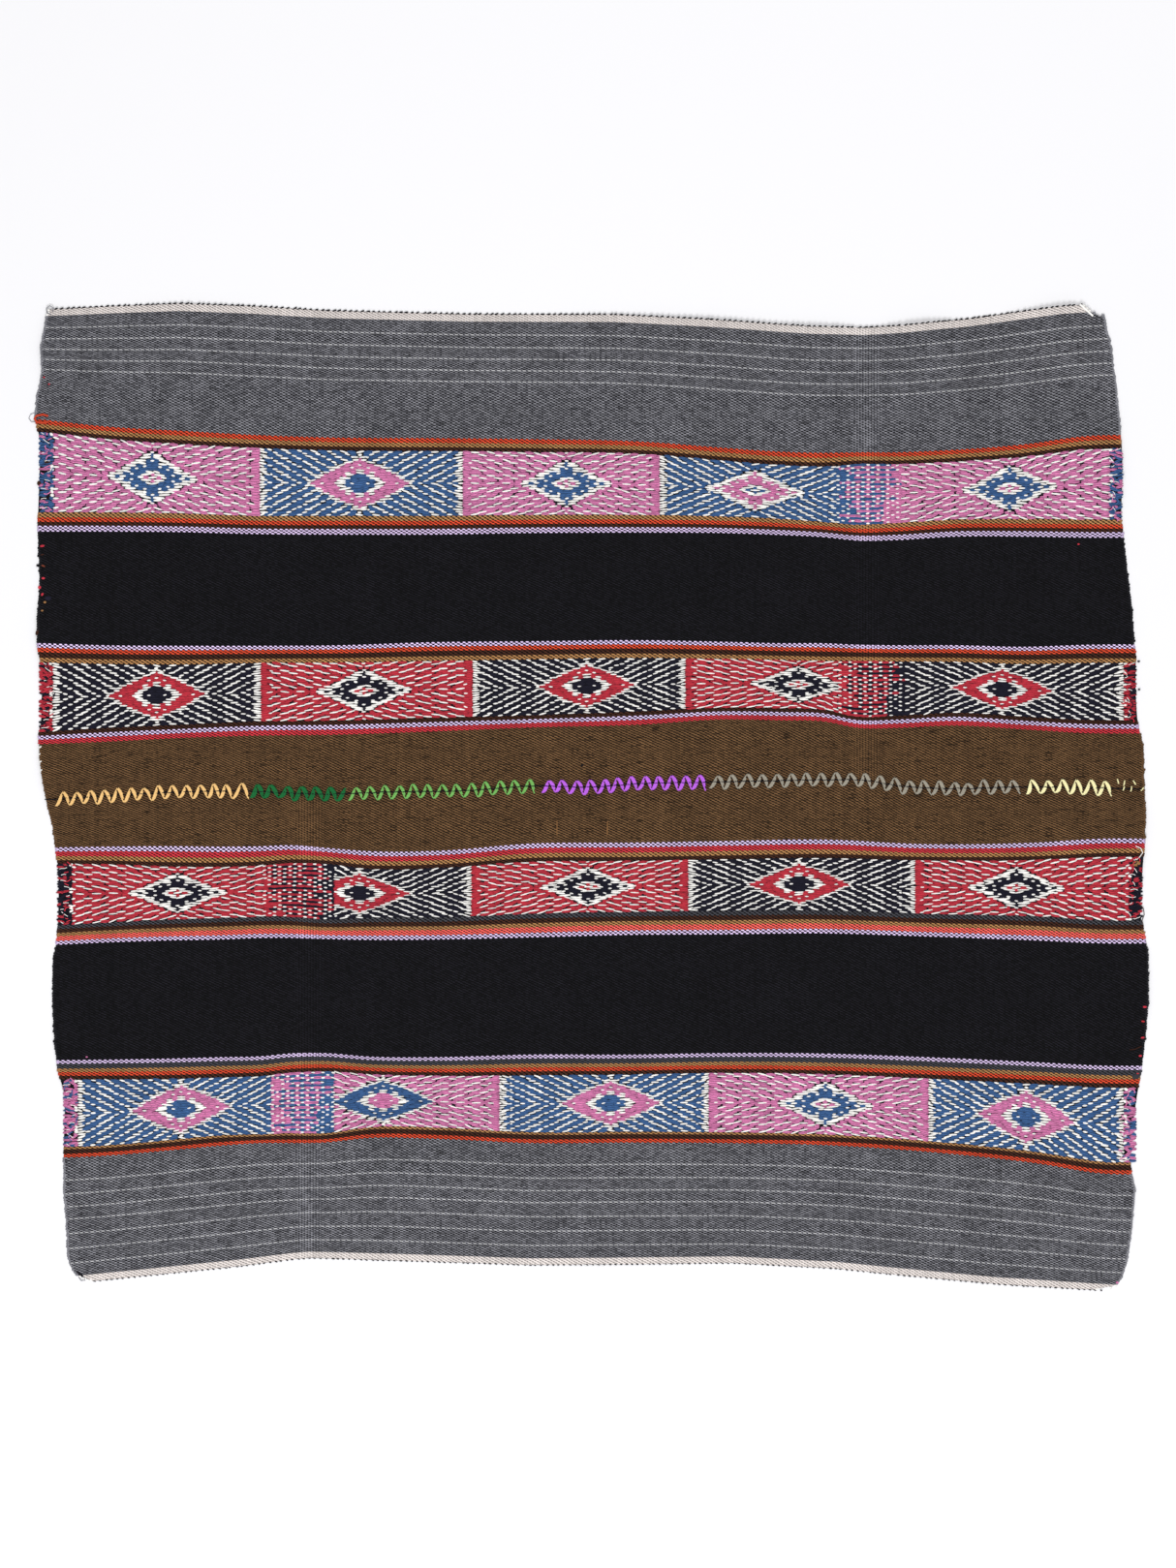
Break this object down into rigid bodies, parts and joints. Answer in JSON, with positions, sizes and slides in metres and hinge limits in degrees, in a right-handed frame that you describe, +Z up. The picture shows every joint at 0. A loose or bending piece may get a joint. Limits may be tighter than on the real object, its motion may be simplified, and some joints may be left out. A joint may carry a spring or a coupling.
{
  "type": "andean carrying cloth",
  "caption": "Flat woven carrying cloth of two striped panels with patterned bands, joined edge to edge along the middle by a zigzag seam in coloured yarn.",
  "frame": {"origin": "centre of the cloth's outline, on the surface that it lies on", "axes": "+X along the warp stripes towards the right end, +Y across the stripes from the lower panel to the upper panel, +Z up off the surface"},
  "size_m": [1.102, 0.9768, 0.0067],
  "materials": {
    "panel_cloth": "warp-faced wool weave in black, heather grey, olive brown and bright stripes",
    "gold_yarn": "plied wool yarn",
    "dark_green_yarn": "plied wool yarn",
    "leaf_green_yarn": "plied wool yarn",
    "purple_yarn": "plied wool yarn",
    "grey_yarn": "plied wool yarn",
    "pale_yellow_yarn": "plied wool yarn"
  },
  "bodies": {
    "root": {"panel_upper": "panel_cloth", "panel_lower": "panel_cloth", "seam_gold": "gold_yarn", "seam_dark_green": "dark_green_yarn", "seam_leaf_green": "leaf_green_yarn", "seam_purple": "purple_yarn", "seam_grey": "grey_yarn", "seam_pale_yellow": "pale_yellow_yarn"}
  },
  "joints": []
}
